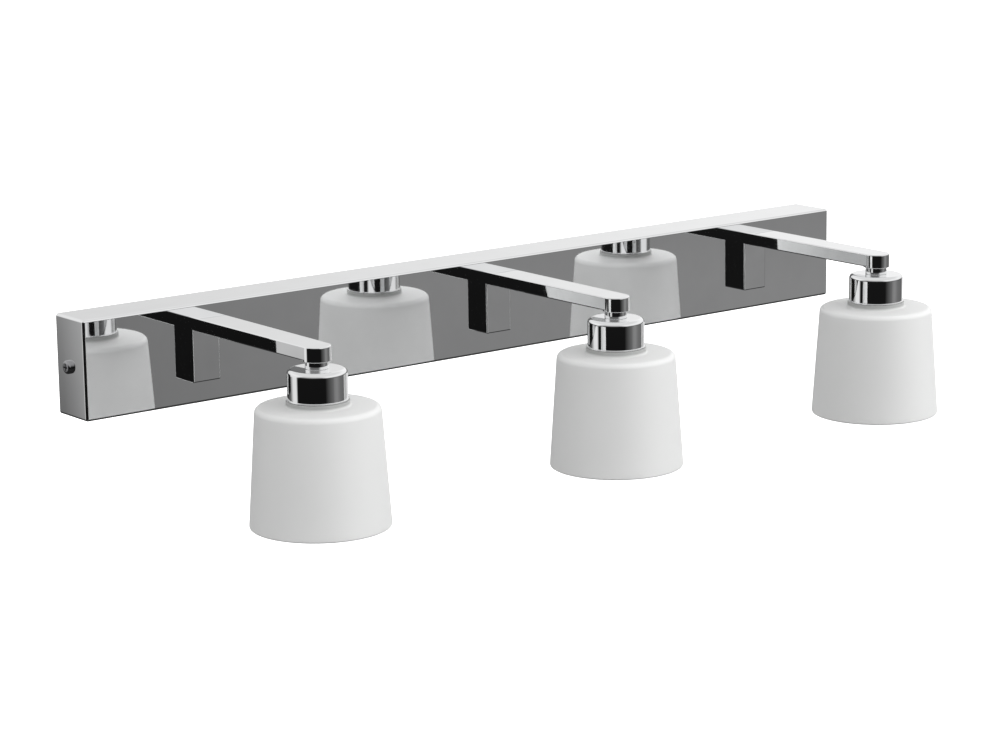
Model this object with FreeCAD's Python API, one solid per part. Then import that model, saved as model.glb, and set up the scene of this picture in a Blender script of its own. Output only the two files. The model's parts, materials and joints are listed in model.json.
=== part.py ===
import FreeCAD, Part
import math
import os

from FreeCAD import Placement, Rotation, Vector

# Vanity light bar: a box-section rail on a wall plate, three flat arms, and a lamp with a
# cup, an opal glass shade and a pin-base bulb under the tip of each arm.
#
# Millimetres. The origin is on the wall, at the middle of the rail. +X runs along the rail,
# -Y points from the wall into the room, +Z is up.

# Rail housing: a bent sheet box, open at the wall side
RAIL_LENGTH = 600.0
RAIL_HEIGHT = 61.0
RAIL_DEPTH = 31.0
SHEET = 1.0
RAIL_EDGE_RADIUS = 1.6

# Lamps
LAMP_NAMES = ("left", "centre", "right")
LAMP_PITCH = 222.0
REACH = 127.0              # rail front to lamp axis

# Arms: a flat bar, a leg flat on the rail front and a round boss at the tip
ARM_TOP = 25.3
ARM_THICKNESS = 8.4
ARM_ROOT_WIDTH = 19.5
ARM_TIP_WIDTH = 17.2
ARM_EDGE_RADIUS = 0.8
LEG_DEPTH = 10.2
LEG_HEIGHT = 40.5
BOSS_DROP = 0.7            # boss below the underside of the bar
DUCT_WIDTH = 10.0
DUCT_HEIGHT = 3.6
DUCT_ROOF = 2.2

# Neck sleeve and nipple
NECK_HEIGHT = 4.4
NECK_RADIUS = 6.9
NIPPLE_RADIUS = 5.0
NIPPLE_BORE_RADIUS = 3.75
NUT_ACROSS_FLATS = 14.0
NUT_HEIGHT = 3.0
NIPPLE_SHOW = 1.0           # nipple below its nut

# Lamp cup
CUP_RADIUS = 17.5
CUP_HEIGHT = 18.2
CUP_WALL = 1.0
CUP_EDGE_RADIUS = 2.8
BEAD_RADIUS = CUP_RADIUS + 0.5
BEAD_HEIGHT = 0.9

# Opal glass shade
COLLAR_RADIUS = CUP_RADIUS + 0.9
COLLAR_HEIGHT = 3.3
COLLAR_GAP = 0.1           # cup mouth to glass
SHADE_HEIGHT = 74.3        # collar top to mouth
SHADE_TOP_SLOPE = 0.3      # fall of the top from collar to shoulder
SHADE_TOP_RADIUS = 36.4    # where top and side would meet in a sharp corner
SHADE_MOUTH_RADIUS = 41.4
SHADE_WALL = 2.8
SHADE_SHOULDER_RADIUS = 3.4
SHADE_HOLE_GAP = 0.5       # glass hole around the threaded skirt
COLLAR_ROUND = 0.8          # inner corner where the collar meets the glass

# Lampholder: ceramic body, bracket, and a threaded skirt through the glass
HOLDER_RADIUS = CUP_RADIUS - 7.5
HOLDER_LENGTH = 15.3       # below its shoulder
HOLDER_SHOULDER_RADIUS = CUP_RADIUS - 2.5
HOLDER_SHOULDER_HEIGHT = 3.0
HOLDER_TOP_RADIUS = CUP_RADIUS - 8.9
HOLDER_TOP_HEIGHT = 4.7
HOLDER_EDGE_RADIUS = 0.6
BRACKET_SHEET = 1.0
BRACKET_WIDTH = 8.0
BRACKET_GAP = 0.4           # bracket leg to ceramic
BRACKET_INSET = 0.2         # foot end inside the shoulder's rim
BRACKET_SCREW_OFFSET = CUP_RADIUS - 4.7
SKIRT_RADIUS = CUP_RADIUS - 3.5
SKIRT_WALL = 2.0
SKIRT_FLANGE_RADIUS = CUP_RADIUS - 1.5
SKIRT_FLANGE = 1.5
SKIRT_LENGTH = 15.8        # below its flange
PIN_SPACING = 9.0
CONTACT_BORE_RADIUS = 2.0
CONTACT_WALL = 0.45
CONTACT_LENGTH = 7.0
POCKET_WIDTH = 14.0
POCKET_DEPTH = 6.4
POCKET_HEIGHT = 5.5
CONTACT_RECESS = 1.0        # contact above the pocket's top

# Shade ring, screwed up the skirt under the glass
RING_FLANGE_RADIUS = SKIRT_RADIUS + 5.0
RING_FLANGE = 2.0
RING_GRIP_RADIUS = SKIRT_RADIUS + 2.5
RING_HEIGHT = 6.0
RING_NOTCHES = 8
RING_NOTCH_RADIUS = 2.0

# Bulb
BULB_RADIUS = 7.0
BULB_GLASS = 0.8
BULB_GLASS_LENGTH = 31.0
BULB_SEAT_RADIUS = 7.4
BULB_SEAT_HEIGHT = 3.0
BULB_STEM = (POCKET_WIDTH - 1.0, POCKET_DEPTH - 1.4, 8.0)
STEM_GAP = 0.5              # stem top to the pocket's top
STEM_ROUND = 1.0
SEAT_ROUND = 0.9
PIN_HEIGHT = 6.0
PIN_LOOP_RADIUS = 0.8
PIN_WIRE_RADIUS = 0.4
EMITTER_RADIUS = 1.6
EMITTER_LENGTH = 20.0

# Wall plate
PLATE_THICKNESS = 1.5
PLATE_HEIGHT = 36.0
PLATE_GAP = 0.4            # end flange to the inside of the housing
FLANGE_HEIGHT = 30.0
FLANGE_DEPTH = 22.0
WALL_SLOT_SPACING = 360.0
WALL_SLOT_LENGTH = 14.0
WALL_SLOT_WIDTH = 5.0
CABLE_HOLE_X = -60.0
CABLE_HOLE_RADIUS = 8.0
CABLE_BORE_RADIUS = 5.0
CABLE_BUSH_FLANGE_RADIUS = 10.5
CABLE_BUSH_FLANGE = 2.0

SMALL_ROUND = 0.4          # share of a rim's thickness

# Screws: thread radius, head radius, head height
M4 = (2.0, 4.1, 2.6)
M3 = (1.5, 2.8, 2.0)
M2_5 = (1.25, 2.3, 1.6)
CROSS_WIDTH = 0.9
CROSS_REACH = 0.55          # share of the head radius
CROSS_DEPTH = 0.55          # share of the head height
HEAD_ROUND = 0.6            # share of the head height
THREAD_GAP = 0.05          # radial, screw or nipple in its tapped hole
CLEAR_GAP = 0.25           # radial, screw in a clearance hole
RING_THREAD_GAP = 0.2      # radial, shade ring on the skirt
SIDE_SCREW_FROM_WALL = 13.0
SIDE_SCREW_LENGTH = 8.0
CLINCH_NUT_RADIUS = 4.2
CLINCH_NUT_LENGTH = 3.2
ARM_SCREW_HEIGHTS = (8.0, -8.0)
ARM_SCREW_LENGTH = 8.0
WASHER_RADIUS = 4.6
WASHER_THICKNESS = 0.8
LEG_HOLE_DEPTH = 7.5

# Wire bushes in the rail front
BUSH_WALL = 0.8
BUSH_LIP = 1.4
BUSH_LIP_DEPTH = 1.0

# Terminal block and earth stud on the wall plate
BLOCK_X = -110.0
BLOCK_DEPTH = 14.0
BLOCK_HEIGHT = 18.0
POLE_PITCH = 10.0
POLE_NAMES = ("earth", "live", "neutral")
CLAMP_RADIUS = 2.3
CLAMP_WALL = 0.6
CLAMP_LENGTH = 12.0
CLAMP_SCREW_OFFSET = 3.5
CLAMP_SCREW = (1.25, 1.7, 1.4)
CLAMP_SCREW_LIFT = 1.0      # head above the clamp
CLAMP_SCREW_BITE = 0.6      # thread past the clamp's wall
BLOCK_EDGE_RADIUS = 1.0
EARTH_STUD = (-150.0, -6.0)
STUD_BASE_RADIUS = 3.5
STUD_BASE = 0.8
STUD_LENGTH = 10.0
TAG_RADIUS = 4.2
TAG_SHEET = 0.8
TAG_REACH = 7.0
TAG_BARREL_RADIUS = 1.6
TAG_BARREL_LENGTH = 6.0
EARTH_NUT_ACROSS_FLATS = 7.0
EARTH_NUT_HEIGHT = 3.2

# Wires
WIRE_RADIUS = 0.9
WIRE_OFFSET = 2.2          # either side of the arm's centre line
WIRE_CLUSTER = 1.15        # the three wires of one pole, around the pole's axis
RUN_BEND = 12.0            # largest bend from the rail into an arm
DROP_BEND = 4.0            # bend from the duct down into the nipple
WIRE_STRIP = 1.0            # wire end above the clamp's end
EARTH_ARCH = 7.0            # earth lead above the block
EARTH_SWAY = 3.0            # earth lead out from the tag's barrel
EARTH_BEND = 0.45           # share of the shorter neighbouring run
WIRE_DEPTHS = {            # distance from the wall of each long run in the rail
    "live": {"left": 13.8, "centre": 11.6, "right": 7.2},
    "neutral": {"left": 2.8, "centre": 9.4, "right": 5.0},
}

# Places that follow from the sizes
LAMP_X = {name: (number - 1) * LAMP_PITCH for number, name in enumerate(LAMP_NAMES)}
RAIL_FRONT = -RAIL_DEPTH
RAIL_INSIDE = RAIL_FRONT + SHEET
LAMP_Y = RAIL_FRONT - REACH
ARM_UNDER = ARM_TOP - ARM_THICKNESS
BOSS_UNDER = ARM_UNDER - BOSS_DROP
BOSS_RADIUS = ARM_TIP_WIDTH / 2
DUCT_TOP = ARM_TOP - DUCT_ROOF
DUCT_FLOOR = DUCT_TOP - DUCT_HEIGHT
DUCT_Z = (DUCT_TOP + DUCT_FLOOR) / 2
CUP_TOP = BOSS_UNDER - NECK_HEIGHT
CUP_UNDER = CUP_TOP - CUP_HEIGHT
CUP_CEILING = CUP_TOP - CUP_WALL
BRACKET_UNDER = CUP_CEILING - BRACKET_SHEET
NIPPLE_UNDER = BRACKET_UNDER - NUT_HEIGHT - NIPPLE_SHOW
COLLAR_TOP = CUP_UNDER - COLLAR_GAP
SHADE_TOP = COLLAR_TOP - COLLAR_HEIGHT
SHADE_CEILING = SHADE_TOP - SHADE_WALL
SHADE_MOUTH = COLLAR_TOP - SHADE_HEIGHT
SKIRT_TOP = COLLAR_TOP + SKIRT_FLANGE
SKIRT_UNDER = COLLAR_TOP - SKIRT_LENGTH
SHOULDER_TOP = SKIRT_TOP + HOLDER_SHOULDER_HEIGHT
HOLDER_TOP = SHOULDER_TOP + HOLDER_TOP_HEIGHT
HOLDER_UNDER = SKIRT_TOP - HOLDER_LENGTH
POCKET_TOP = HOLDER_UNDER + POCKET_HEIGHT
STEM_TOP = POCKET_TOP - STEM_GAP
SEAT_TOP = STEM_TOP - BULB_STEM[2]
SEAT_UNDER = SEAT_TOP - BULB_SEAT_HEIGHT
PLATE_HALF = RAIL_LENGTH / 2 - SHEET - PLATE_GAP
POLE_Y = -(PLATE_THICKNESS + BLOCK_DEPTH / 2)
BLOCK_FRONT = -(PLATE_THICKNESS + BLOCK_DEPTH)
POLE_X = {name: BLOCK_X + (number - 1) * POLE_PITCH for number, name in enumerate(POLE_NAMES)}


# Plain solids

def block(low, high):
    return Part.makeBox(high[0] - low[0], high[1] - low[1], high[2] - low[2], Vector(*low))


def rod(start, end, radius):
    start, end = Vector(*start), Vector(*end)
    return Part.makeCylinder(radius, (end - start).Length, start, end - start)


def tube(start, end, outer, inner):
    return rod(start, end, outer).cut(rod(start, end, inner))


def hexagon(start, end, across_flats):
    start, end = Vector(*start), Vector(*end)
    corner = across_flats / 2 / math.cos(math.radians(30))
    turns = [math.radians(60 * number) for number in range(7)]
    flat = Part.makePolygon([Vector(corner * math.cos(turn), corner * math.sin(turn), 0) for turn in turns])
    nut = Part.Face(flat).extrude(Vector(0, 0, (end - start).Length))
    nut.Placement = Placement(start, Rotation(Vector(0, 0, 1), end - start))
    return nut


def obround(centre_x, centre_z, width, height, y_from, y_to):
    """A slot-shaped prism that runs along Y, wider in X than it is high."""
    half, straight = height / 2, (width - height) / 2
    left, right = centre_x - straight, centre_x + straight
    corners = [Vector(left, y_from, centre_z - half), Vector(right, y_from, centre_z - half),
               Vector(right, y_from, centre_z + half), Vector(left, y_from, centre_z + half)]
    edges = [Part.LineSegment(corners[0], corners[1]),
             Part.Arc(corners[1], Vector(right + half, y_from, centre_z), corners[2]),
             Part.LineSegment(corners[2], corners[3]),
             Part.Arc(corners[3], Vector(left - half, y_from, centre_z), corners[0])]
    outline = Part.Wire([edge.toShape() for edge in edges])
    return Part.Face(outline).extrude(Vector(0, y_to - y_from, 0))


def turned(profile, centre_x, centre_y):
    """A solid of revolution about the vertical through a point, from (radius, height) pairs."""
    points = [Vector(radius, 0, height) for radius, height in profile]
    outline = Part.makePolygon(points + points[:1])
    solid = Part.Face(outline).revolve(Vector(0, 0, 0), Vector(0, 0, 1), 360)
    solid.translate(Vector(centre_x, centre_y, 0))
    return solid


def rings_at(solid, radius, height):
    """The full circular edges of a turned solid with this radius at this height."""
    return [edge for edge in solid.Edges
            if isinstance(edge.Curve, Part.Circle)
            and abs(edge.Curve.Radius - radius) < 0.001
            and abs(edge.Curve.Center.z - height) < 0.001]


def edges_where(solid, test):
    return [edge for edge in solid.Edges if test(edge.BoundBox)]


def cross_screw(size, length, seat, facing):
    """A pan-head screw with a cross recess: seat is under its head, facing is the way it looks."""
    thread, head, height = size
    top = rod((0, 0, 0), (0, 0, height), head)
    top = top.makeFillet(height * HEAD_ROUND, rings_at(top, head, height))
    reach, depth = head * CROSS_REACH, height * CROSS_DEPTH
    for half_x, half_y in ((reach, CROSS_WIDTH / 2), (CROSS_WIDTH / 2, reach)):
        top = top.cut(block((-half_x, -half_y, height - depth), (half_x, half_y, height + 1)))
    screw = top.fuse(rod((0, 0, -length), (0, 0, 0), thread))
    screw.Placement = Placement(Vector(*seat), Rotation(Vector(0, 0, 1), Vector(*facing)))
    return screw


def wire_along(points, radius, bends):
    """A round wire: straight runs joined by tangent arcs, one bend radius for each inner point."""
    points = [Vector(*point) for point in points]
    edges, start = [], points[0]
    for before, corner, after, bend in zip(points, points[1:], points[2:], bends):
        come, go = (corner - before).normalize(), (after - corner).normalize()
        half_turn = come.getAngle(go) / 2
        trim = bend * math.tan(half_turn)
        inward = (go - come).normalize()
        middle = corner + inward * (bend / math.cos(half_turn) - bend)
        enter, leave = corner - come * trim, corner + go * trim
        edges += [Part.LineSegment(start, enter).toShape(), Part.Arc(enter, middle, leave).toShape()]
        start = leave
    edges.append(Part.LineSegment(start, points[-1]).toShape())
    path = Part.Wire(edges)
    section = Part.Wire(Part.Circle(points[0], points[1] - points[0], radius).toShape())
    return path.makePipeShell([section], True, False)


# Rail and wall plate

def rounded_box(half_length, half_height, front, back, radius):
    solid = block((-half_length, front, -half_height), (half_length, back, half_height))
    edges = edges_where(solid, lambda bounds: bounds.YMin < back - 0.001)
    return solid.makeFillet(radius, edges)


def rail_housing():
    half_length, half_height = RAIL_LENGTH / 2, RAIL_HEIGHT / 2
    outside = rounded_box(half_length, half_height, RAIL_FRONT, 0, RAIL_EDGE_RADIUS)
    inside = rounded_box(half_length - SHEET, half_height - SHEET, RAIL_INSIDE, 1, RAIL_EDGE_RADIUS - SHEET)
    housing = outside.cut(inside)
    for x in LAMP_X.values():
        hole = obround(x, DUCT_Z, DUCT_WIDTH + 2 * BUSH_WALL, DUCT_HEIGHT + 2 * BUSH_WALL,
                       RAIL_FRONT - 1, RAIL_INSIDE + 1)
        housing = housing.cut(hole)
        for z in ARM_SCREW_HEIGHTS:
            housing = housing.cut(rod((x, RAIL_FRONT - 1, z), (x, RAIL_INSIDE + 1, z), M4[0] + CLEAR_GAP))
    across = RAIL_LENGTH / 2 + 1
    return housing.cut(rod((-across, -SIDE_SCREW_FROM_WALL, 0), (across, -SIDE_SCREW_FROM_WALL, 0),
                           M4[0] + CLEAR_GAP))


def wall_plate():
    half_height = PLATE_HEIGHT / 2
    plate = block((-PLATE_HALF, -PLATE_THICKNESS, -half_height), (PLATE_HALF, 0, half_height))
    for side in (-1, 1):
        ends = sorted((side * PLATE_HALF, side * (PLATE_HALF - PLATE_THICKNESS)))
        flange = block((ends[0], -FLANGE_DEPTH, -FLANGE_HEIGHT / 2), (ends[1], 0, FLANGE_HEIGHT / 2))
        plate = plate.fuse(flange)
        plate = plate.cut(obround(side * WALL_SLOT_SPACING / 2, 0, WALL_SLOT_LENGTH, WALL_SLOT_WIDTH,
                                  -PLATE_THICKNESS - 1, 1))
    plate = plate.removeSplitter()
    holes = ((CABLE_HOLE_X, CABLE_HOLE_RADIUS), (BLOCK_X + POLE_PITCH / 2, M3[0] + THREAD_GAP))
    for x, radius in holes:
        plate = plate.cut(rod((x, -PLATE_THICKNESS - 1, 0), (x, 1, 0), radius))
    return plate.cut(rod((-PLATE_HALF - 1, -SIDE_SCREW_FROM_WALL, 0),
                         (PLATE_HALF + 1, -SIDE_SCREW_FROM_WALL, 0), M4[0] + CLEAR_GAP))


def side_screws():
    seats = {side: (side * RAIL_LENGTH / 2, -SIDE_SCREW_FROM_WALL, 0) for side in (-1, 1)}
    return [cross_screw(M4, SIDE_SCREW_LENGTH, seat, (side, 0, 0)) for side, seat in seats.items()]


def clinch_nuts():
    nuts = []
    for side in (-1, 1):
        start = side * (PLATE_HALF - PLATE_THICKNESS)
        end = start - side * CLINCH_NUT_LENGTH
        nuts.append(tube((start, -SIDE_SCREW_FROM_WALL, 0), (end, -SIDE_SCREW_FROM_WALL, 0),
                         CLINCH_NUT_RADIUS, M4[0] + THREAD_GAP))
    return nuts


def cable_bush():
    inner_face = -PLATE_THICKNESS - CABLE_BUSH_FLANGE
    body = rod((CABLE_HOLE_X, 0, 0), (CABLE_HOLE_X, -PLATE_THICKNESS, 0), CABLE_HOLE_RADIUS)
    flange = rod((CABLE_HOLE_X, -PLATE_THICKNESS, 0), (CABLE_HOLE_X, inner_face, 0), CABLE_BUSH_FLANGE_RADIUS)
    bore = rod((CABLE_HOLE_X, 1, 0), (CABLE_HOLE_X, inner_face - 1, 0), CABLE_BORE_RADIUS)
    bush = body.fuse(flange).cut(bore)
    rim = edges_where(bush, lambda bounds: bounds.YMax < inner_face + 0.001
                      and bounds.XLength > 2 * CABLE_BUSH_FLANGE_RADIUS - 0.1)
    return bush.makeFillet(CABLE_BUSH_FLANGE * SMALL_ROUND, rim)


# Arms

def arm(x):
    half_root = ARM_ROOT_WIDTH / 2
    to_root = math.atan2(REACH, half_root)
    tangent = to_root - math.acos(BOSS_RADIUS / math.hypot(half_root, REACH))
    tip_x, tip_y = BOSS_RADIUS * math.cos(tangent), LAMP_Y + BOSS_RADIUS * math.sin(tangent)
    under = ARM_TOP - LEG_HEIGHT
    corners = [Vector(x - tip_x, tip_y, under), Vector(x - half_root, RAIL_FRONT, under),
               Vector(x + half_root, RAIL_FRONT, under), Vector(x + tip_x, tip_y, under)]
    sides = [Part.LineSegment(first, second).toShape() for first, second in zip(corners, corners[1:])]
    tip = Part.Arc(corners[-1], Vector(x, LAMP_Y - BOSS_RADIUS, under), corners[0]).toShape()
    solid = Part.Face(Part.Wire(sides + [tip])).extrude(Vector(0, 0, LEG_HEIGHT))
    leg_front = RAIL_FRONT - LEG_DEPTH
    solid = solid.cut(block((x - ARM_ROOT_WIDTH, LAMP_Y - ARM_ROOT_WIDTH, under - 1),
                            (x + ARM_ROOT_WIDTH, leg_front, ARM_UNDER)))
    outer = edges_where(solid, lambda bounds: bounds.YMin < RAIL_FRONT - 0.001
                        and not (abs(bounds.YMin - leg_front) < 0.001 and abs(bounds.ZMin - ARM_UNDER) < 0.001
                                 and bounds.ZLength < 0.001)
                        and not (bounds.ZLength > 1 and bounds.YMin < leg_front - 1))
    solid = solid.makeFillet(ARM_EDGE_RADIUS, outer)
    boss = rod((x, LAMP_Y, BOSS_UNDER), (x, LAMP_Y, ARM_TOP - ARM_EDGE_RADIUS), BOSS_RADIUS)
    boss = boss.makeFillet(ARM_EDGE_RADIUS / 2, rings_at(boss, BOSS_RADIUS, BOSS_UNDER))
    return solid.fuse(boss).cut(arm_hollow(x))


def arm_hollow(x):
    """The wire duct, the tapped hole for the nipple and the tapped holes in the leg."""
    hollow = obround(x, DUCT_Z, DUCT_WIDTH, DUCT_HEIGHT, RAIL_FRONT, LAMP_Y)
    hollow = hollow.fuse(rod((x, LAMP_Y, DUCT_FLOOR), (x, LAMP_Y, DUCT_TOP), DUCT_WIDTH / 2))
    hollow = hollow.fuse(rod((x, LAMP_Y, BOSS_UNDER), (x, LAMP_Y, DUCT_Z), NIPPLE_RADIUS + THREAD_GAP))
    for z in ARM_SCREW_HEIGHTS:
        hole = rod((x, RAIL_FRONT, z), (x, RAIL_FRONT - LEG_HOLE_DEPTH, z), M4[0] + THREAD_GAP)
        hollow = hollow.fuse(hole)
    return hollow


def arm_screws():
    seat = RAIL_INSIDE + WASHER_THICKNESS
    return [cross_screw(M4, ARM_SCREW_LENGTH, (x, seat, z), (0, 1, 0))
            for x in LAMP_X.values() for z in ARM_SCREW_HEIGHTS]


def arm_washers():
    return [tube((x, RAIL_INSIDE, z), (x, RAIL_INSIDE + WASHER_THICKNESS, z), WASHER_RADIUS, M4[0] + CLEAR_GAP)
            for x in LAMP_X.values() for z in ARM_SCREW_HEIGHTS]


def wire_bushes():
    bushes = []
    for x in LAMP_X.values():
        width, height = DUCT_WIDTH + 2 * BUSH_WALL, DUCT_HEIGHT + 2 * BUSH_WALL
        body = obround(x, DUCT_Z, width, height, RAIL_FRONT, RAIL_INSIDE)
        lip = obround(x, DUCT_Z, width + 2 * BUSH_LIP, height + 2 * BUSH_LIP,
                      RAIL_INSIDE, RAIL_INSIDE + BUSH_LIP_DEPTH)
        bore = obround(x, DUCT_Z, DUCT_WIDTH, DUCT_HEIGHT, RAIL_FRONT - 1, RAIL_INSIDE + BUSH_LIP_DEPTH + 1)
        bushes.append(body.fuse(lip).cut(bore))
    return bushes


# Lamps

def nipples():
    return [tube((x, LAMP_Y, NIPPLE_UNDER), (x, LAMP_Y, DUCT_FLOOR), NIPPLE_RADIUS, NIPPLE_BORE_RADIUS)
            for x in LAMP_X.values()]


def nipple_nuts():
    nuts = []
    for x in LAMP_X.values():
        under, top = (x, LAMP_Y, BRACKET_UNDER - NUT_HEIGHT), (x, LAMP_Y, BRACKET_UNDER)
        nuts.append(hexagon(under, top, NUT_ACROSS_FLATS).cut(rod(under, top, NIPPLE_RADIUS + THREAD_GAP)))
    return nuts


def neck_sleeve(x):
    return tube((x, LAMP_Y, CUP_TOP), (x, LAMP_Y, BOSS_UNDER), NECK_RADIUS, NIPPLE_RADIUS + CLEAR_GAP)


def lamp_cup(x):
    outside = turned([(0, CUP_UNDER), (CUP_RADIUS, CUP_UNDER), (CUP_RADIUS, CUP_TOP), (0, CUP_TOP)], x, LAMP_Y)
    outside = outside.makeFillet(CUP_EDGE_RADIUS, rings_at(outside, CUP_RADIUS, CUP_TOP))
    bead = turned([(0, CUP_UNDER), (BEAD_RADIUS, CUP_UNDER), (BEAD_RADIUS, CUP_UNDER + BEAD_HEIGHT),
                   (0, CUP_UNDER + BEAD_HEIGHT)], x, LAMP_Y)
    bead_rims = rings_at(bead, BEAD_RADIUS, CUP_UNDER) + rings_at(bead, BEAD_RADIUS, CUP_UNDER + BEAD_HEIGHT)
    bead = bead.makeFillet(BEAD_HEIGHT * SMALL_ROUND, bead_rims)
    inner = CUP_RADIUS - CUP_WALL
    inside = turned([(0, CUP_UNDER - 1), (inner, CUP_UNDER - 1), (inner, CUP_CEILING), (0, CUP_CEILING)],
                    x, LAMP_Y)
    inside = inside.makeFillet(CUP_EDGE_RADIUS - CUP_WALL, rings_at(inside, inner, CUP_CEILING))
    hole = rod((x, LAMP_Y, CUP_CEILING - 1), (x, LAMP_Y, CUP_TOP + 1), NIPPLE_RADIUS + CLEAR_GAP)
    return outside.fuse(bead).cut(inside).cut(hole)


def holder_bracket(x):
    half, inner = BRACKET_WIDTH / 2, HOLDER_TOP_RADIUS + BRACKET_GAP
    outer, foot_end = inner + BRACKET_SHEET, HOLDER_SHOULDER_RADIUS - BRACKET_INSET
    bracket = rod((x, LAMP_Y, BRACKET_UNDER), (x, LAMP_Y, CUP_CEILING), inner)
    bracket = bracket.fuse(block((x - outer, LAMP_Y - half, BRACKET_UNDER),
                                 (x + outer, LAMP_Y + half, CUP_CEILING)))
    for side in (-1, 1):
        leg = sorted((x + side * inner, x + side * outer))
        foot = sorted((x + side * inner, x + side * foot_end))
        bracket = bracket.fuse(block((leg[0], LAMP_Y - half, SHOULDER_TOP),
                                     (leg[1], LAMP_Y + half, CUP_CEILING)))
        bracket = bracket.fuse(block((foot[0], LAMP_Y - half, SHOULDER_TOP),
                                     (foot[1], LAMP_Y + half, SHOULDER_TOP + BRACKET_SHEET)))
    bracket = bracket.removeSplitter().cut(screw_paths(x, M2_5[0] + CLEAR_GAP))
    return bracket.cut(rod((x, LAMP_Y, BRACKET_UNDER), (x, LAMP_Y, CUP_CEILING), NIPPLE_RADIUS + CLEAR_GAP))


def screw_paths(x, radius):
    """The two upright holes that bracket, ceramic and skirt share."""
    left, right = x - BRACKET_SCREW_OFFSET, x + BRACKET_SCREW_OFFSET
    top = SHOULDER_TOP + BRACKET_SHEET
    return rod((left, LAMP_Y, COLLAR_TOP), (left, LAMP_Y, top), radius).fuse(
        rod((right, LAMP_Y, COLLAR_TOP), (right, LAMP_Y, top), radius))


def bracket_screws():
    seat = SHOULDER_TOP + BRACKET_SHEET
    length = seat - COLLAR_TOP - 0.1
    return [cross_screw(M2_5, length, (x + side * BRACKET_SCREW_OFFSET, LAMP_Y, seat), (0, 0, 1))
            for x in LAMP_X.values() for side in (-1, 1)]


def lampholder(x):
    holder = turned([(0, HOLDER_UNDER), (HOLDER_RADIUS, HOLDER_UNDER), (HOLDER_RADIUS, SKIRT_TOP),
                     (HOLDER_SHOULDER_RADIUS, SKIRT_TOP), (HOLDER_SHOULDER_RADIUS, SHOULDER_TOP),
                     (HOLDER_TOP_RADIUS, SHOULDER_TOP), (HOLDER_TOP_RADIUS, HOLDER_TOP), (0, HOLDER_TOP)],
                    x, LAMP_Y)
    rims = rings_at(holder, HOLDER_RADIUS, HOLDER_UNDER) + rings_at(holder, HOLDER_TOP_RADIUS, HOLDER_TOP)
    holder = holder.makeFillet(HOLDER_EDGE_RADIUS, rims)
    pocket = block((x - POCKET_WIDTH / 2, LAMP_Y - POCKET_DEPTH / 2, HOLDER_UNDER - 1),
                   (x + POCKET_WIDTH / 2, LAMP_Y + POCKET_DEPTH / 2, POCKET_TOP))
    holder = holder.cut(pocket).cut(screw_paths(x, M2_5[0] + CLEAR_GAP))
    for side in (-1, 1):
        pin_x = x + side * PIN_SPACING / 2
        bore_top = POCKET_TOP + CONTACT_LENGTH + CONTACT_RECESS
        holder = holder.cut(rod((pin_x, LAMP_Y, POCKET_TOP), (pin_x, LAMP_Y, bore_top), CONTACT_BORE_RADIUS))
    return holder


def lamp_contacts():
    outer, under = CONTACT_BORE_RADIUS - THREAD_GAP, POCKET_TOP + CONTACT_RECESS
    contacts = []
    for x in LAMP_X.values():
        for side in (-1, 1):
            pin_x = x + side * PIN_SPACING / 2
            contacts.append(tube((pin_x, LAMP_Y, under), (pin_x, LAMP_Y, under + CONTACT_LENGTH),
                                 outer, outer - CONTACT_WALL))
    return contacts


def holder_skirt(x):
    inner = SKIRT_RADIUS - SKIRT_WALL
    skirt = turned([(inner, SKIRT_UNDER), (SKIRT_RADIUS, SKIRT_UNDER), (SKIRT_RADIUS, COLLAR_TOP),
                    (SKIRT_FLANGE_RADIUS, COLLAR_TOP), (SKIRT_FLANGE_RADIUS, SKIRT_TOP),
                    (HOLDER_RADIUS + CLEAR_GAP, SKIRT_TOP), (HOLDER_RADIUS + CLEAR_GAP, COLLAR_TOP),
                    (inner, COLLAR_TOP)], x, LAMP_Y)
    return skirt.cut(screw_paths(x, M2_5[0] + THREAD_GAP))


def shade(x):
    hole = SKIRT_RADIUS + SHADE_HOLE_GAP
    edge_top = SHADE_TOP - SHADE_TOP_SLOPE
    shade_glass = turned([(hole, COLLAR_TOP), (COLLAR_RADIUS, COLLAR_TOP), (COLLAR_RADIUS, SHADE_TOP),
                          (SHADE_TOP_RADIUS, edge_top), (SHADE_MOUTH_RADIUS, SHADE_MOUTH),
                          (SHADE_MOUTH_RADIUS - SHADE_WALL, SHADE_MOUTH),
                          (SHADE_TOP_RADIUS - SHADE_WALL, edge_top - SHADE_WALL),
                          (RING_FLANGE_RADIUS + 1, SHADE_CEILING), (hole, SHADE_CEILING)], x, LAMP_Y)
    rounds = [(SHADE_SHOULDER_RADIUS, [(SHADE_TOP_RADIUS, edge_top)]),
              (SHADE_SHOULDER_RADIUS - SHADE_WALL, [(SHADE_TOP_RADIUS - SHADE_WALL, edge_top - SHADE_WALL)]),
              (SHADE_WALL * SMALL_ROUND, [(SHADE_MOUTH_RADIUS, SHADE_MOUTH),
                                          (SHADE_MOUTH_RADIUS - SHADE_WALL, SHADE_MOUTH)]),
              (COLLAR_ROUND, [(COLLAR_RADIUS, SHADE_TOP)])]
    for round_radius, places in rounds:
        edges = [edge for place in places for edge in rings_at(shade_glass, *place)]
        shade_glass = shade_glass.makeFillet(round_radius, edges)
    return shade_glass


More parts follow.
